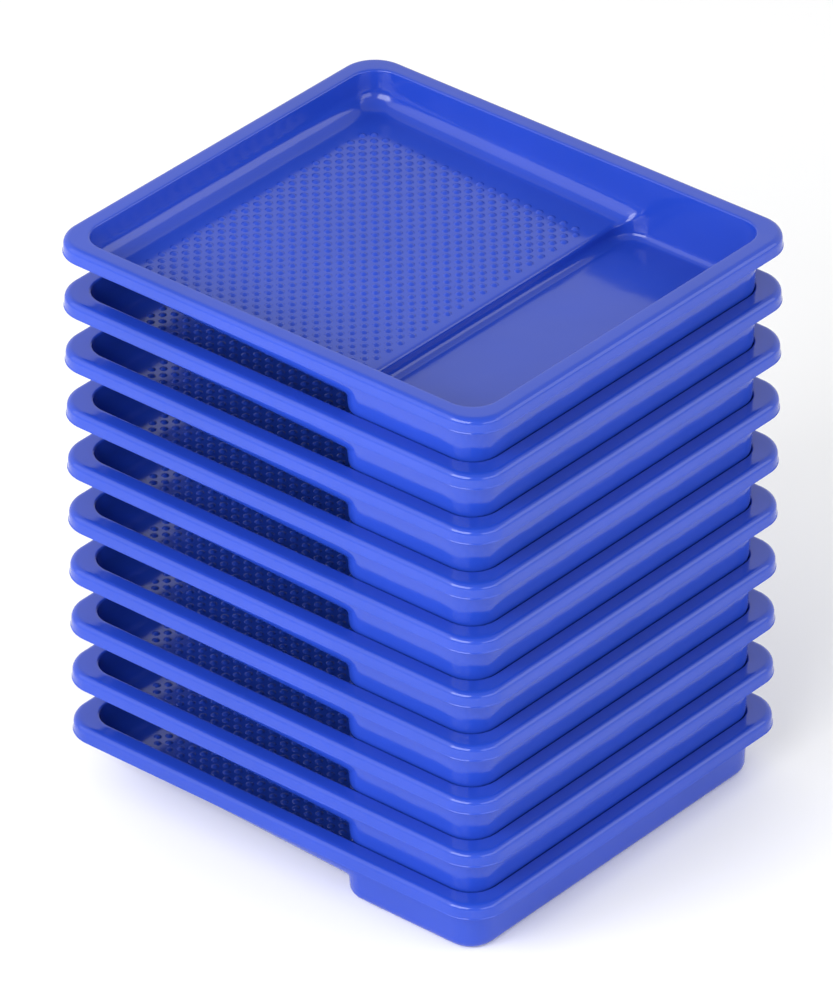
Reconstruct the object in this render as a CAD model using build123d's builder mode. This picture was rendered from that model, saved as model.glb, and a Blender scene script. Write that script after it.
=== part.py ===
"""Ten paint roller trays, nested in a stack.

Each tray is one thermoformed sheet of plastic: a flat rim with a turned-down skirt, a deep
well at one end and a ramp that falls gently towards it.  A steep step drops from the end of
the ramp to the floor of the well.

X runs along the ramp, from the shallow end (-X) to the well (+X).  Y runs across the tray and
Z is up.  The origin is on the surface that the stack stands on, below the middle of the rim.
"""

from build123d import *
import os
from math import asin, cos, degrees, radians, tan

# ---------------------------------------------------------------- driving dimensions (mm)
tray_count = 10          # trays in the stack
sheet = 1.2              # thickness of the plastic sheet

rim_length = 360.0       # over the bottom edge of the skirt, along X
rim_width = 320.0        # the same, along Y
rim_corner = 26.0        # plan radius of the skirt's corners
flange_width = 14.5      # from the skirt's bottom edge to the lip of the basin
skirt_height = 10.0      # the rim's turned-down edge, top of flange to bottom edge
skirt_draft = 3.0        # degrees that the skirt flares outwards as it comes down
shoulder_radius = 4.5    # between flange and skirt
lip_radius = 1.5         # between flange and basin wall
lip_corner = 19.5        # plan radius of the basin's corners, at the level of the lip

well_depth = 45.0        # top of flange to the well's floor
well_length = 116.0      # from the step to the end wall, at the level of the lip
well_fillet = 6.0        # between the well's floor and its walls
crest_depth = 34.0       # top of flange to the ramp, where it ends at the step
ramp_angle = 2.2         # degrees that the ramp falls towards the well
ramp_fillet = 14.0       # between the ramp and the walls

stack_pitch = 40.5       # height from one rim to the next in the stack
nest_clearance = 0.15    # gap between the walls of nested trays, square to the wall

# ---------------------------------------------------------------- worked out from those
# Nested walls stand one sheet and one clearance apart when a tray is one pitch higher.
wall_draft = degrees(asin((sheet + nest_clearance) / stack_pitch))

lip_length = rim_length - 2 * flange_width
lip_width = rim_width - 2 * flange_width
well_center = (lip_length - well_length) / 2
step_x = lip_length / 2 - well_length            # the step, at the level of the lip
overall_depth = well_depth + sheet               # one tray's height, and the first rim's level

head_room = rim_length                           # more than any cut needs above the rim
shortest_foot = lip_corner / 4                   # any edge of the ramp's foot runs further in X
ramp_cut_x = step_x + 2 * lip_corner             # the hollow over the ramp ends inside the well


def skin_block(length, center_x, depth, skin):
    """Tapered block under the lip level: a basin's hollow, with `skin` added all round."""
    spread = 2 * skin / cos(radians(wall_draft))
    with BuildPart() as block:
        with BuildSketch(Plane.XY):
            with Locations((center_x, 0)):
                RectangleRounded(length + spread, lip_width + spread, lip_corner + spread / 2)
        extrude(amount=-(depth + skin), taper=wall_draft)
    return block.part


def well_block(skin):
    """The well's hollow, or its outside when `skin` is the sheet's thickness."""
    with BuildPart() as well:
        add(skin_block(well_length, well_center, well_depth, skin))
        floor = well.faces().sort_by(Axis.Z)[0]
        fillet(floor.edges(), well_fillet + skin)
    return well.part


def ramp_block(skin):
    """The hollow over the ramp, or its outside when `skin` is the sheet's thickness."""
    fall = tan(radians(ramp_angle))
    crest_z = -crest_depth - skin / cos(radians(ramp_angle))
    cut_end = (ramp_cut_x, crest_z - (ramp_cut_x - step_x) * fall)
    top_start = (-rim_length / 2, crest_z + (step_x + rim_length / 2) * fall)
    with BuildPart() as ramp:
        add(skin_block(lip_length, 0, well_depth, skin))
        with BuildSketch(Plane.XZ):
            with BuildLine():
                Polyline(cut_end, top_start, (top_start[0], head_room), (ramp_cut_x, head_room),
                         cut_end)
            make_face()
        extrude(amount=rim_width, both=True, mode=Mode.INTERSECT)
        fillet([edge for edge in ramp.edges() if is_ramp_foot(edge)], ramp_fillet + skin)
    return ramp.part


def is_ramp_foot(edge):
    """True for the edges where the ramp meets the walls, below the lip and short of the cut."""
    box = edge.bounding_box()
    below_lip = box.max.Z < -lip_radius
    runs_along = box.max.X - box.min.X > shortest_foot
    return below_lip and (runs_along or box.max.X < -lip_length / 2 + lip_corner)


def basin(skin):
    """The whole basin's hollow, or its outside when `skin` is the sheet's thickness."""
    with BuildPart() as both:
        add(ramp_block(skin))
        add(well_block(skin))
    return both.part


def rim_cap(inset):
    """The rim's outside, or the space under it when `inset` is the sheet's thickness."""
    with BuildPart() as cap:
        with BuildSketch(Plane.XY.offset(-skirt_height)):
            RectangleRounded(rim_length - 2 * inset, rim_width - 2 * inset, rim_corner - inset)
        extrude(amount=skirt_height - inset, taper=skirt_draft)
        fillet(cap.faces().sort_by(Axis.Z)[-1].edges(), shoulder_radius - inset)
    return cap.part


# ---------------------------------------------------------------- one tray, flange top at z = 0
with BuildPart() as tray:
    add(rim_cap(0))
    add(rim_cap(sheet), mode=Mode.SUBTRACT)
    add(basin(sheet))
    add(basin(0), mode=Mode.SUBTRACT)
    mouth = tray.faces().filter_by(Axis.Z).sort_by(Axis.Z)[-1].inner_wires()[0]
    fillet(mouth.edges(), lip_radius)

# ---------------------------------------------------------------- the stack, bottom tray first
os.makedirs("parts", exist_ok=True)
for number in range(tray_count):
    name = f"tray_{number + 1:02d}"
    with BuildPart() as stacked:
        with Locations((0, 0, overall_depth + number * stack_pitch)):
            add(tray.part)
    stacked.part.label = name
    export_step(stacked.part, f"parts/{name}.step")
    print(name, "rim at z = %.1f mm" % (overall_depth + number * stack_pitch))

print("wall draft %.3f degrees" % wall_draft)
print("one tray: %.1f cm3 of plastic" % (tray.part.volume / 1000))
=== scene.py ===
# %% [markdown]
# # Ten paint roller trays, nested in a stack
#
# A paint tray is one sheet of plastic, heated and drawn over a mould.  Its rim is flat with a
# turned-down skirt, its well holds the paint, and its studded ramp is where the roller is
# rolled out.  Nested trays make a stack, because every wall leans a little.
#
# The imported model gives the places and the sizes.  It is loaded first, so that each tray can
# be drawn where its solid is.

# %% Load the frame
import math
import bpy
import numpy as np
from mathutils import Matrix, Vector


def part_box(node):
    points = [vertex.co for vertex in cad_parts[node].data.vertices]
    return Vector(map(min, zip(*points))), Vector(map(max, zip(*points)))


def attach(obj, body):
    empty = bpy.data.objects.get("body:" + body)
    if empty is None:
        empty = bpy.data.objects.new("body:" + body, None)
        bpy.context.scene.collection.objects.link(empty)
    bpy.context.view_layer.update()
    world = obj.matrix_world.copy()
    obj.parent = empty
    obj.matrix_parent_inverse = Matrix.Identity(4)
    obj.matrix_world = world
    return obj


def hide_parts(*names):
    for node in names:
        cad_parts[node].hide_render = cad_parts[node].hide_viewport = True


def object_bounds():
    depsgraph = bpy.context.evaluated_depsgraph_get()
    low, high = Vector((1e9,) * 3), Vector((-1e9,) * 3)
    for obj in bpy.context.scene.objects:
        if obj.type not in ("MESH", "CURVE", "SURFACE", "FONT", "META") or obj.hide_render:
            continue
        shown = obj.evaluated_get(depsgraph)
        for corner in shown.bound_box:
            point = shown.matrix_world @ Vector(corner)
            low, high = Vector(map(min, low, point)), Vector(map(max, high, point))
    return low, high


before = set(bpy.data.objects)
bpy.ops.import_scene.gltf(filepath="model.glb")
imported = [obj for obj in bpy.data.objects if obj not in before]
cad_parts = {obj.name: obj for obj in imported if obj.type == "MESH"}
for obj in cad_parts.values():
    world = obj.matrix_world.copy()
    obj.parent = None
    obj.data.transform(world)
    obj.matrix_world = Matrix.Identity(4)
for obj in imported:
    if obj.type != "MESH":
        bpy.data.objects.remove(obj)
cad_low, cad_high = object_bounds()
tray_names = sorted(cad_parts)
print("the stack's box in metres:", [round(side, 4) for side in cad_high - cad_low])
print("trays:", ", ".join(tray_names))

# %% [markdown]
# ## The tray's sizes
#
# Lengths are in millimetres while the tray is being drawn, because that is how a mould is
# drawn, and the mesh is turned into metres at the end.  The rim's size comes from the solid.
# The flange's upper face is the level that every depth is measured from.

# %% Sizes of one tray (mm)
tray_low, tray_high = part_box(tray_names[0])
rim_half_x = 500 * (tray_high.x - tray_low.x)
rim_half_y = 500 * (tray_high.y - tray_low.y)
sheet = 1.2
flange_width = 14.5
skirt_height = 10.0
skirt_draft = math.radians(3)
shoulder_radius = 4.5
lip_radius = 1.5
rim_corner, lip_corner = 26.0, 19.5
wall_draft = math.asin((sheet + 0.15) / 40.5)
well_depth, well_length, well_fillet = 45.0, 116.0, 6.0
crest_depth, ramp_angle, ramp_fillet = 34.0, math.radians(2.2), 14.0
crest_radius = 3.0

lip_half_x = rim_half_x - flange_width
lip_half_y = rim_half_y - flange_width
well_center = lip_half_x - well_length / 2
step_x = lip_half_x - well_length
print("rim %.0f x %.0f mm, the step is at x = %.1f mm" % (2 * rim_half_x, 2 * rim_half_y, step_x))

# %% [markdown]
# ## Where the walls are
#
# Seen from above, every wall of the tray follows a rectangle with rounded corners.  What a
# point needs to know is how far inside that rectangle it is, and which way is straight in.
# With that one number a wall that leans is a slanting line, and a fillet is the arc of a ball
# that rolls between wall and floor.

# %% Distance inside a rounded rectangle
def inside_by(x, y, half_x, half_y, corner, center_x=0.0):
    """Inset of plan points: corner radius less the distance from the corner's arc centre,
    or the distance from the nearer side where a point is not in a corner.  Also gives the x
    part of the direction straight inwards."""
    past_x = np.abs(x - center_x) - (half_x - corner)
    past_y = np.abs(y) - (half_y - corner)
    reach = np.hypot(np.maximum(past_x, 0), np.maximum(past_y, 0))
    inset = corner - reach - np.minimum(np.maximum(past_x, past_y), 0)
    inward_x = -np.sign(x - center_x) * np.maximum(past_x, 0) / np.maximum(reach, 1e-9)
    return inset, inward_x


# %% Depth of a hollow with leaning walls and a rolling-ball fillet
def hollow_depth(inset, floor, slope, inward_x, ball):
    """Depth under the flange.  On the wall it is inset / tan(draft), and on the floor it is
    the floor's own depth.  Between them is the ball that touches both planes: with A and B
    the ball's radius less a point's distances from wall and floor, and c the cosine between
    the two planes' normals, A^2 + B^2 - 2cAB = ball^2 (1 - c^2), which is solved for depth."""
    wall_sin, wall_cos = math.sin(wall_draft), math.cos(wall_draft)
    floor_cos = math.cos(slope)
    c = inward_x * wall_cos * math.sin(slope) + wall_sin * floor_cos
    wall = inset * wall_cos / wall_sin
    touches = ball * (1 - c)
    on_wall = (floor - wall) * floor_cos >= touches
    on_floor = inset * wall_cos - floor * wall_sin >= touches
    a0 = ball - inset * wall_cos
    b0 = ball - floor * floor_cos
    k2 = wall_sin ** 2 + floor_cos ** 2 - 2 * c * wall_sin * floor_cos
    k1 = 2 * (a0 * wall_sin + b0 * floor_cos - c * (a0 * floor_cos + b0 * wall_sin))
    k0 = a0 ** 2 + b0 ** 2 - 2 * c * a0 * b0 - ball ** 2 * (1 - c ** 2)
    fillet = (-k1 + np.sqrt(np.maximum(k1 ** 2 - 4 * k2 * k0, 0))) / (2 * k2)
    return np.where(on_wall, wall, np.where(on_floor, floor, fillet))


# %% [markdown]
# ## The basin
#
# The ramp falls gently towards the well.  The well is a second hollow, cut deeper at one end.
# The basin is whichever of the two is deeper at each point.  Where the ramp ends at the well
# the plastic turns over a small radius, so the crest is rounded before the two are joined.

# %% The ramp's floor and the whole basin
def ramp_floor(x):
    """Depth of the ramp: the crest's depth, less tan(angle) for each millimetre from the
    step."""
    return crest_depth - (step_x - x) * math.tan(ramp_angle)


def basin_depth(x, y):
    """The deeper of ramp and well.  Within crest_radius of the step the ramp sinks along a
    quarter circle, and that sinking fades out where the ramp is already on a wall."""
    inset, inward_x = inside_by(x, y, lip_half_x, lip_half_y, lip_corner)
    ramp = hollow_depth(inset, ramp_floor(x), ramp_angle, inward_x, ramp_fillet)
    well_inset, _ = inside_by(x, y, well_length / 2, lip_half_y, lip_corner, well_center)
    well = hollow_depth(well_inset, well_depth, 0.0, 0.0, well_fillet)
    from_step = (ramp + crest_radius) * math.tan(wall_draft) - well_inset
    over = np.clip(crest_radius - from_step, 0, crest_radius)
    sink = crest_radius - np.sqrt(crest_radius ** 2 - over ** 2)
    off_wall = np.clip((inset / math.tan(wall_draft) - ramp) / 12, 0, 1)
    return np.maximum(ramp + off_wall * sink, well)


print("depth at the ramp's two ends and in the well: %.1f, %.1f, %.1f mm"
      % tuple(basin_depth(np.array([-150.0, 45.0, 110.0]), np.zeros(3))))

# %% [markdown]
# ## The rim's section
#
# The rim is the same all the way round, so it is one section carried round the rounded
# rectangle: trimmed edge, skirt, shoulder, flange and lip.  The trim flares out by a third of
# a millimetre, as a sheet does where the cutter parts it, and that catches a thin line of
# light.  The section is written as inset (negative outside the lip) against height.

# %% Section of the rim
def arc_points(center, radius, start, end, count):
    """Points of a circle, centre + radius (cos a, sin a), for angles from start to end."""
    a = np.radians(np.linspace(start, end, count))
    return np.stack([center[0] + radius * np.cos(a), center[1] + radius * np.sin(a)], 1)


flare = 0.35
foot = -flange_width + flare                 # the skirt's line, drawn on to the trim's level
skirt_z = np.array([-9.1, -8.0, -6.8, -5.6])
skirt_e = foot + (skirt_z + skirt_height) * math.tan(skirt_draft)
shoulder_z = -shoulder_radius
shoulder_e = (foot + (shoulder_z + skirt_height) * math.tan(skirt_draft)
              + shoulder_radius / math.cos(skirt_draft))
shoulder = arc_points((shoulder_e, shoulder_z), shoulder_radius, 177, 90, 12)
flange_e = np.linspace(shoulder_e, -lip_radius, 5)[1:-1]
lip = arc_points((-lip_radius + 0.02, -lip_radius), lip_radius, 90, 1.84, 7)
trim = [(-flange_width, -skirt_height), (-flange_width + 0.02, -skirt_height + 0.22),
        (-flange_width + 0.14, -skirt_height + 0.45), (foot, -skirt_height + 0.68)]
section = np.concatenate([np.array(trim), np.stack([skirt_e, skirt_z], 1), shoulder,
                          np.stack([flange_e, 0 * flange_e], 1), lip])
rim_lines = len(section)
print("the rim's section has", rim_lines, "points")

# %% [markdown]
# ## A net of lines that fits the tray
#
# One net of crossing lines covers the whole tray.  The outer lines follow the rim's section.
# The next ones stand close together where the sheet bends, down the wall and through the
# fillet.  More lines run along the crest and the foot of the step.  At the four corners the
# net's square patch is turned into a quarter disc, so that lines which run along a straight
# side go on round the corner as arcs.

# %% Lines down the walls and across the floor
def wall_lines(wall_end, ball):
    """Insets of the lines: quarters of the wall, then ball (1 - cos a) through the fillet, and
    two more as far as the corner's arc centre."""
    top = section[-1, 0]
    wall = top + (wall_end - top) * np.array([0.25, 0.5, 0.75, 1.0])[:, None]
    turn = np.radians(np.arange(9, 91, 9))[:, None]
    fillet = wall_end + ball * (1 - np.cos(turn))
    last = fillet[-1:]
    return np.concatenate([wall, fillet, (last + lip_corner) / 2, 0 * last + lip_corner])


def wall_end_at(floor, ball):
    """Inset where the wall stops and its fillet begins."""
    return (floor - ball * (1 - math.sin(wall_draft))) * math.tan(wall_draft)


shallow_floor = ramp_floor(ramp_fillet - lip_half_x)
shallow_lines = wall_lines(wall_end_at(shallow_floor, ramp_fillet), ramp_fillet)[:, 0]
deep_lines = wall_lines(wall_end_at(well_depth, well_fillet), well_fillet)[:, 0]
side_count = rim_lines + len(deep_lines)

turned = np.radians(np.arange(0, 91, 9))
crest_inset = (crest_depth + crest_radius) * math.tan(wall_draft)
crest_lines = step_x + crest_inset - crest_radius * (1 - np.sin(turned))
foot_inset = wall_end_at(well_depth, well_fillet)
foot_lines = step_x + foot_inset + well_fillet * (1 - np.cos(turned))
ramp_x = np.arange(lip_corner - lip_half_x, step_x - 6, 6.0)[1:]
well_x = np.linspace(step_x + 14, lip_half_x - lip_corner, 9)[:-1]
outer = section[:, 0]
lines_x = np.concatenate([
    outer - lip_half_x, shallow_lines - lip_half_x, ramp_x, crest_lines, foot_lines, well_x,
    (lip_half_x - deep_lines)[::-1], (lip_half_x - outer)[::-1]])
print("lines across the tray:", len(lines_x))


# %% The net
def smooth(t):
    """3 t^2 - 2 t^3, from 0 to 1, held at its ends."""
    t = np.clip(t, 0, 1)
    return t * t * (3 - 2 * t)


def corner_radius(inset):
    """Plan radius of the line at that inset.  Lip and skirt turn round their own centres, and
    the flange between them takes up the difference."""
    turned_down = rim_corner - flange_width - shoulder_e
    on_flange = np.interp(inset, [-flange_width, shoulder_e, -lip_radius, 0],
                          [rim_corner, turned_down, lip_corner + lip_radius, lip_corner])
    return np.where(inset < 0, on_flange, np.maximum(lip_corner - inset, 0))


def net():
    """Plan places of all crossings, and which outer line each is on.  Along the sides the
    insets change from the ramp's fillet to the well's as x passes the step."""
    x = lines_x[:, None]
    deep = smooth((x[:, 0] - step_x + 6) / 16)
    floor = ramp_floor(np.maximum(lines_x, ramp_fillet - lip_half_x))
    ball = ramp_fillet + (well_fillet - ramp_fillet) * deep
    ends = wall_end_at(floor + (well_depth - floor) * deep, ball)
    inner = wall_lines(ends, ball).T
    side = lip_half_y - np.concatenate([np.repeat(outer[None], len(x), 0), inner], 1)
    middle = np.repeat(np.linspace(-1, 1, 23)[None, 1:-1], len(x), 0) * side[:, -1:]
    y = np.concatenate([-side, middle, side[:, ::-1]], 1)
    x = np.repeat(x, y.shape[1], 1)
    # The step turns round the well's corners.  The lines beside it turn with it, and less
    # so with distance.
    past = np.clip(np.abs(y) - (lip_half_y - lip_corner), 0, lip_corner - section[-1, 0])
    turn = lip_corner - np.sqrt(lip_corner ** 2 - past ** 2)
    near = smooth((x + 60) / (step_x + 48)) * smooth((lip_half_x - lip_corner - x)
                                                     / (lip_half_x - lip_corner - step_x - 12))
    x = x + turn * near
    # A corner's square patch becomes a quarter disc.
    past_x = np.abs(x) - (lip_half_x - lip_corner)
    past_y = np.abs(y) - (lip_half_y - lip_corner)
    reach = np.maximum(past_x, past_y)
    share = np.minimum(past_x, past_y) / np.where(reach > 0, reach, 1)
    radius = corner_radius(lip_corner - reach)
    straight = reach - radius
    length = share * (straight + radius * np.pi / 4)
    angle = np.maximum(length - straight, 0) / np.maximum(radius, 1e-9)
    long_way = straight + radius * np.cos(angle)
    short_way = np.minimum(length, straight) + radius * np.sin(angle)
    corner = (past_x > 0) & (past_y > 0)
    disc_x = np.where(past_x >= past_y, long_way, short_way) + lip_half_x - lip_corner
    disc_y = np.where(past_x >= past_y, short_way, long_way) + lip_half_y - lip_corner
    x = np.where(corner, np.sign(x) * disc_x, x)
    y = np.where(corner, np.sign(y) * disc_y, y)
    along = np.minimum(np.arange(x.shape[0]), np.arange(x.shape[0])[::-1])[:, None]
    across = np.minimum(np.arange(x.shape[1]), np.arange(x.shape[1])[::-1])[None]
    return x, y, np.minimum(along, across)


net_x, net_y, line_number = net()
print("the net has %d x %d crossings" % net_x.shape)

# %% [markdown]
# ## From the net to a sheet with a thickness
#
# Each crossing gets its height, from the rim's section or from the basin's depth.  The upper
# skin's normals come from the differences between neighbours, and the lower skin is the
# upper one moved in by the sheet's thickness along them, just as a drawn sheet keeps nearly
# one thickness.  A strip along the trimmed edge closes the two.

# %% Upper skin, lower skin and trimmed edge
on_rim = line_number < rim_lines
height = np.where(on_rim, section[np.minimum(line_number, rim_lines - 1), 1],
                  -basin_depth(net_x, net_y))
upper = np.stack([net_x, net_y, height], 2)
normal = np.cross(np.gradient(upper, axis=0), np.gradient(upper, axis=1))
normal /= np.linalg.norm(normal, axis=2, keepdims=True)
lower = upper - sheet * normal
count_x, count_y = net_x.shape
number = np.arange(count_x * count_y).reshape(count_x, count_y)
quads = np.stack([number[:-1, :-1], number[1:, :-1], number[1:, 1:], number[:-1, 1:]], 2)
quads = quads.reshape(-1, 4)
edge = np.concatenate([number[:-1, 0], number[-1, :-1], number[:0:-1, -1], number[0, :0:-1]])
after = np.roll(edge, -1)
skin_size = count_x * count_y
strip = np.stack([edge, edge + skin_size, after + skin_size, after], 1)
sheet_points = np.concatenate([upper.reshape(-1, 3), lower.reshape(-1, 3)])
sheet_faces = np.concatenate([quads, quads[:, ::-1] + skin_size, strip])
print("the sheet has", len(sheet_faces), "faces")

# %% [markdown]
# ## The studs
#
# The ramp is covered with low round studs in staggered rows, which squeeze the paint out of
# the roller.  They are pressed up from the sheet.  There are hundreds on each tray, so one
# stud has fifty faces: a low dome, and a flat base that stays hidden in the sheet's thickness.

# %% One stud, and its places on the ramp
stud_radius, stud_height, stud_root = 2.9, 1.35, 0.35
stud_step_x, stud_step_y = 5.0, 5.83
first_row_x = -140.0
rows = np.arange(37)[:, None]
columns = np.arange(-19, 20)[None]
staggered = (rows + columns) % 2 == 0
stud_x = (rows * stud_step_x + first_row_x + 0 * columns)[staggered]
stud_y = (columns * stud_step_y + 0 * rows)[staggered]


def one_stud(sides=10):
    """Rings of a low dome, height = top (1 - (r / R)^2)^1.3, with a last ring sunk in the
    sheet.  Gives points as (r cos a, r sin a, z), and faces."""
    share = np.array([0.34, 0.68, 0.94, 1.0])
    a = np.arange(sides) * 2 * np.pi / sides
    ring_z = stud_height * (1 - share ** 2) ** 1.3
    ring_z[-1] = -stud_root
    share[-1] = 1.04
    r = (share * stud_radius)[:, None]
    rings = np.stack([r * np.cos(a), r * np.sin(a), ring_z[:, None] + 0 * a], 2).reshape(-1, 3)
    points = np.concatenate([rings, [[0, 0, stud_height], [0, 0, -stud_root]]])
    k = np.arange(sides)
    n = (k + 1) % sides
    walls = [np.stack([k + b, k + b + sides, n + b + sides, n + b], 1)
             for b in sides * np.arange(3)]
    top = np.stack([k, n, 0 * k + 4 * sides], 1)
    base = np.stack([n + 3 * sides, k + 3 * sides, 0 * k + 4 * sides + 1], 1)
    return points, np.concatenate(walls), np.concatenate([top, base])


stud_floor = ramp_floor(stud_x)
shape, shape_quads, shape_triangles = one_stud()
tilt_x, tilt_z = math.sin(ramp_angle), math.cos(ramp_angle)
studs = np.stack([
    stud_x[:, None] + shape[None, :, 0] * tilt_z + shape[None, :, 2] * tilt_x,
    stud_y[:, None] + shape[None, :, 1],
    -stud_floor[:, None] - shape[None, :, 0] * tilt_x + shape[None, :, 2] * tilt_z], 2)
starts = len(sheet_points) + len(shape) * np.arange(len(stud_x))[:, None, None]
stud_quads = (shape_quads[None] + starts).reshape(-1, 4)
stud_triangles = (shape_triangles[None] + starts).reshape(-1, 3)
tray_points = np.concatenate([sheet_points, studs.reshape(-1, 3)])
print(len(stud_x), "studs with", len(shape_quads) + len(shape_triangles), "faces each")


# %% [markdown]
# ## The plastic
#
# The trays are glossy blue polystyrene, coloured all through.  Moulded sheet is never quite
# even: the colour is a shade deeper where the sheet was stretched thin, the gloss changes in
# soft patches, and the surface has a slight swell that bends reflections.  Handling leaves
# fine rubbed marks on the rim.  Three noises in object coordinates do this, at the scale of
# the hand, the finger and the scratch.

# %% Glossy blue plastic
def blue_plastic():
    """Principled plastic with noise on colour, roughness and bump, all in object metres."""
    material = bpy.data.materials.new("glossy_blue_plastic")
    material.use_nodes = True
    nodes, links = material.node_tree.nodes, material.node_tree.links
    shader = nodes["Principled BSDF"]
    shader.inputs["IOR"].default_value = 1.5
    shader.inputs["Specular IOR Level"].default_value = 0.45
    place = nodes.new("ShaderNodeTexCoord")

    def noise(scale, detail, roughness=0.5):
        texture = nodes.new("ShaderNodeTexNoise")
        texture.inputs["Scale"].default_value = scale
        texture.inputs["Detail"].default_value = detail
        texture.inputs["Roughness"].default_value = roughness
        links.new(place.outputs["Object"], texture.inputs["Vector"])
        return texture.outputs["Fac"]

    def spread(value, low, high, low_to, high_to):
        change = nodes.new("ShaderNodeMapRange")
        for name, number in (("From Min", low), ("From Max", high),
                             ("To Min", low_to), ("To Max", high_to)):
            change.inputs[name].default_value = number
        links.new(value, change.inputs["Value"])
        return change.outputs["Result"]

    patches = noise(9.0, 3.0)
    shades = nodes.new("ShaderNodeValToRGB")
    shades.color_ramp.elements[0].position = 0.3
    shades.color_ramp.elements[0].color = (0.015, 0.052, 0.41, 1)
    shades.color_ramp.elements[1].position = 0.7
    shades.color_ramp.elements[1].color = (0.018, 0.058, 0.46, 1)
    links.new(patches, shades.inputs["Fac"])
    links.new(shades.outputs["Color"], shader.inputs["Base Color"])
    rubbed = noise(160.0, 5.0, 0.7)
    gloss = nodes.new("ShaderNodeMath")
    gloss.operation = "ADD"
    links.new(spread(patches, 0.3, 0.7, 0.09, 0.14), gloss.inputs[0])
    links.new(spread(rubbed, 0.55, 0.8, 0.0, 0.16), gloss.inputs[1])
    links.new(gloss.outputs["Value"], shader.inputs["Roughness"])
    swell = nodes.new("ShaderNodeBump")
    swell.inputs["Strength"].default_value = 0.35
    swell.inputs["Distance"].default_value = 0.0012
    links.new(noise(28.0, 1.5), swell.inputs["Height"])
    grain = nodes.new("ShaderNodeBump")
    grain.inputs["Strength"].default_value = 0.12
    grain.inputs["Distance"].default_value = 0.00006
    links.new(noise(900.0, 2.0), grain.inputs["Height"])
    links.new(swell.outputs["Normal"], grain.inputs["Normal"])
    links.new(grain.outputs["Normal"], shader.inputs["Normal"])
    return material


plastic = blue_plastic()
print("material:", plastic.name)

# %% [markdown]
# ## Ten trays
#
# Every tray comes out of the same mould, so one set of points serves for all ten.  Each copy
# is lifted to its own rim's height inside its mesh.  The object stays at the origin, rides on
# its tray's body, and stands for that tray's solid.

# %% Build the trays
def add_tray(name):
    """Mesh of one tray: the points in millimetres, raised by the height of the node's top,
    divided by a thousand."""
    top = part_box(name)[1].z
    mesh = bpy.data.meshes.new(name + "_shell")
    points = tray_points / 1000 + np.array([0, 0, top])
    faces = sheet_faces.tolist() + stud_quads.tolist() + stud_triangles.tolist()
    mesh.from_pydata(points.tolist(), [], faces)
    mesh.polygons.foreach_set("use_smooth", np.ones(len(mesh.polygons), bool))
    mesh.set_sharp_from_angle(angle=math.radians(50))
    mesh.materials.append(plastic)
    tray = bpy.data.objects.new(name + "_shell", mesh)
    bpy.context.scene.collection.objects.link(tray)
    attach(tray, name)
    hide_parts(name)
    return tray


trays = [add_tray(name) for name in tray_names]
triangles = sum(len(p.vertices) - 2 for p in trays[0].data.polygons)
print(len(trays), "trays of", triangles, "triangles each")

# %% [markdown]
# ## Floor, light and camera
#
# The stack stands on a plain pale floor.  Glossy plastic shows its surroundings more than its
# own colour, so the lights are large and soft.  A bright low sky is what the level faces
# mirror.  One light on each side draws the bands along the shoulders and fillets, two more
# fill the gaps between the rims, and the sky overhead is dimmer, so that the bands have dark
# edges.

# %% Floor and sky
def plain_material(name, color, roughness):
    material = bpy.data.materials.new(name)
    material.use_nodes = True
    shader = material.node_tree.nodes["Principled BSDF"]
    shader.inputs["Base Color"].default_value = (*color, 1)
    shader.inputs["Roughness"].default_value = roughness
    return material


floor_mesh = bpy.data.meshes.new("floor")
reach = 14.0
corners = [(-reach, -reach, 0), (reach, -reach, 0), (reach, reach, 0), (-reach, reach, 0)]
floor_mesh.from_pydata(corners, [], [(0, 1, 2, 3)])
floor_mesh.materials.append(plain_material("pale_floor", (0.98, 0.98, 0.98), 0.8))
floor = bpy.data.objects.new("floor", floor_mesh)
bpy.context.scene.collection.objects.link(floor)

bpy.context.scene.view_settings.view_transform = "Standard"
world = bpy.data.worlds.new("studio")
bpy.context.scene.world = world
world.use_nodes = True
sky = world.node_tree.nodes["Background"]
sky.inputs["Color"].default_value = (1, 1, 1, 1)
add_node, join = world.node_tree.nodes.new, world.node_tree.links.new
direction = add_node("ShaderNodeTexCoord")


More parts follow.
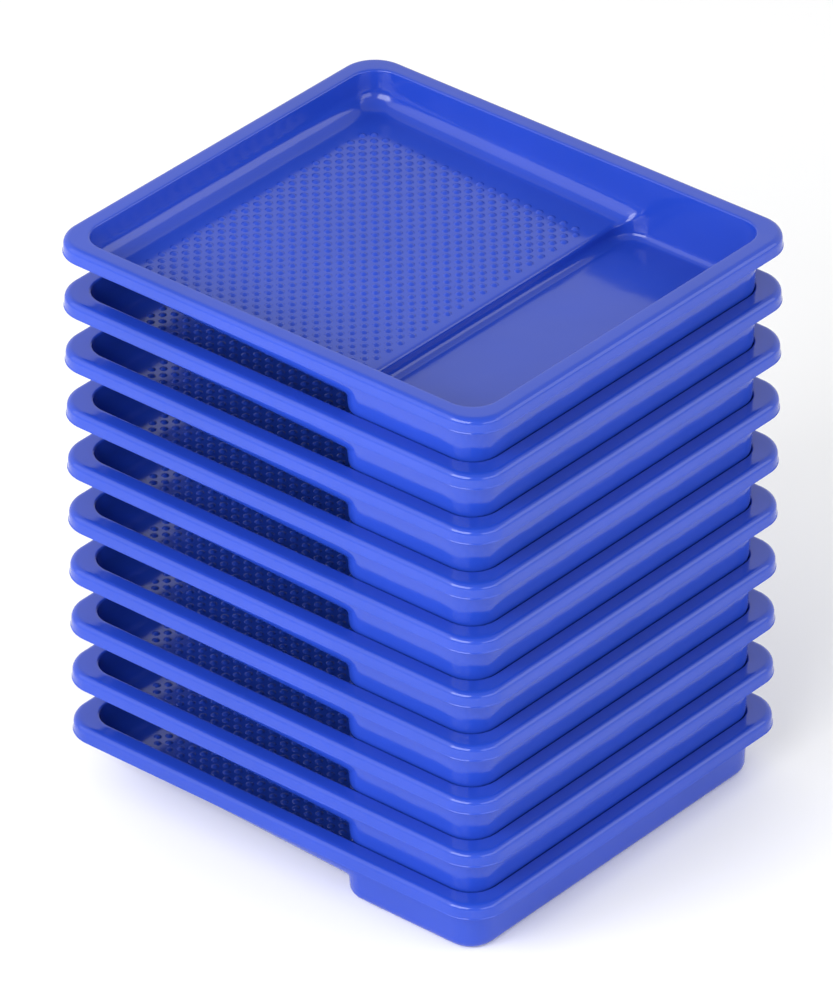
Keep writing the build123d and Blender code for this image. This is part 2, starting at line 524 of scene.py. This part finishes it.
def sky_part(axis, start, end, start_value, end_value):
    """Brightness that goes evenly from one value to another as the part of the direction
    along an axis goes from start to end."""
    along = add_node("ShaderNodeVectorMath")
    along.operation = "DOT_PRODUCT"
    along.inputs[1].default_value = axis
    ramp = add_node("ShaderNodeMapRange")
    for name, number in (("From Min", start), ("From Max", end),
                         ("To Min", start_value), ("To Max", end_value)):
        ramp.inputs[name].default_value = number
    join(direction.outputs["Generated"], along.inputs[0])
    join(along.outputs["Value"], ramp.inputs["Value"])
    return ramp.outputs["Result"]


both = add_node("ShaderNodeMath")
both.operation = "MULTIPLY"
join(sky_part((0, 0, 1), 0.55, 0.9, 1.05, 0.6), both.inputs[0])
join(sky_part((-0.64, 0.77, 0), -0.7, 0.5, 0.6, 1.0), both.inputs[1])
join(both.outputs["Value"], sky.inputs["Strength"])


# %% Soft lights
middle = (cad_low + cad_high) / 2


def softbox(name, toward, distance, width, height, watts):
    """A rectangular light at middle + distance * unit(toward), facing the stack."""
    data = bpy.data.lights.new(name, "AREA")
    data.shape = "RECTANGLE"
    data.size, data.size_y = width, height
    data.energy = watts
    lamp = bpy.data.objects.new(name, data)
    way = Vector(toward).normalized()
    lamp.location = middle + distance * way
    lamp.rotation_euler = way.to_track_quat("Z", "Y").to_euler()
    lamp.visible_camera = False
    bpy.context.scene.collection.objects.link(lamp)
    return lamp


softbox("light_left", (-0.56, -0.66, 0.50), 2.6, 2.6, 2.2, 20)
softbox("light_right", (0.70, 0.50, 0.40), 2.6, 1.8, 1.4, 12)
softbox("fill_left", (0.05, -0.86, 0.50), 2.6, 2.4, 1.2, 60)
softbox("fill_right", (0.95, -0.10, 0.30), 2.6, 2.0, 1.0, 16)

# %% Camera
turn, rise = math.radians(40.08), math.radians(32.15)
back = Vector((math.sin(turn) * math.cos(rise), -math.cos(turn) * math.cos(rise),
               math.sin(rise)))
camera_data = bpy.data.cameras.new("camera")
camera_data.sensor_width = 36
camera_data.lens = 360
camera_data.clip_end = 60
camera = bpy.data.objects.new("camera", camera_data)
camera.location = Vector((0.0245, -0.0357, 0.237)) + 6.429 * back
camera.rotation_euler = back.to_track_quat("Z", "Y").to_euler()
bpy.context.scene.collection.objects.link(camera)
bpy.context.scene.camera = camera
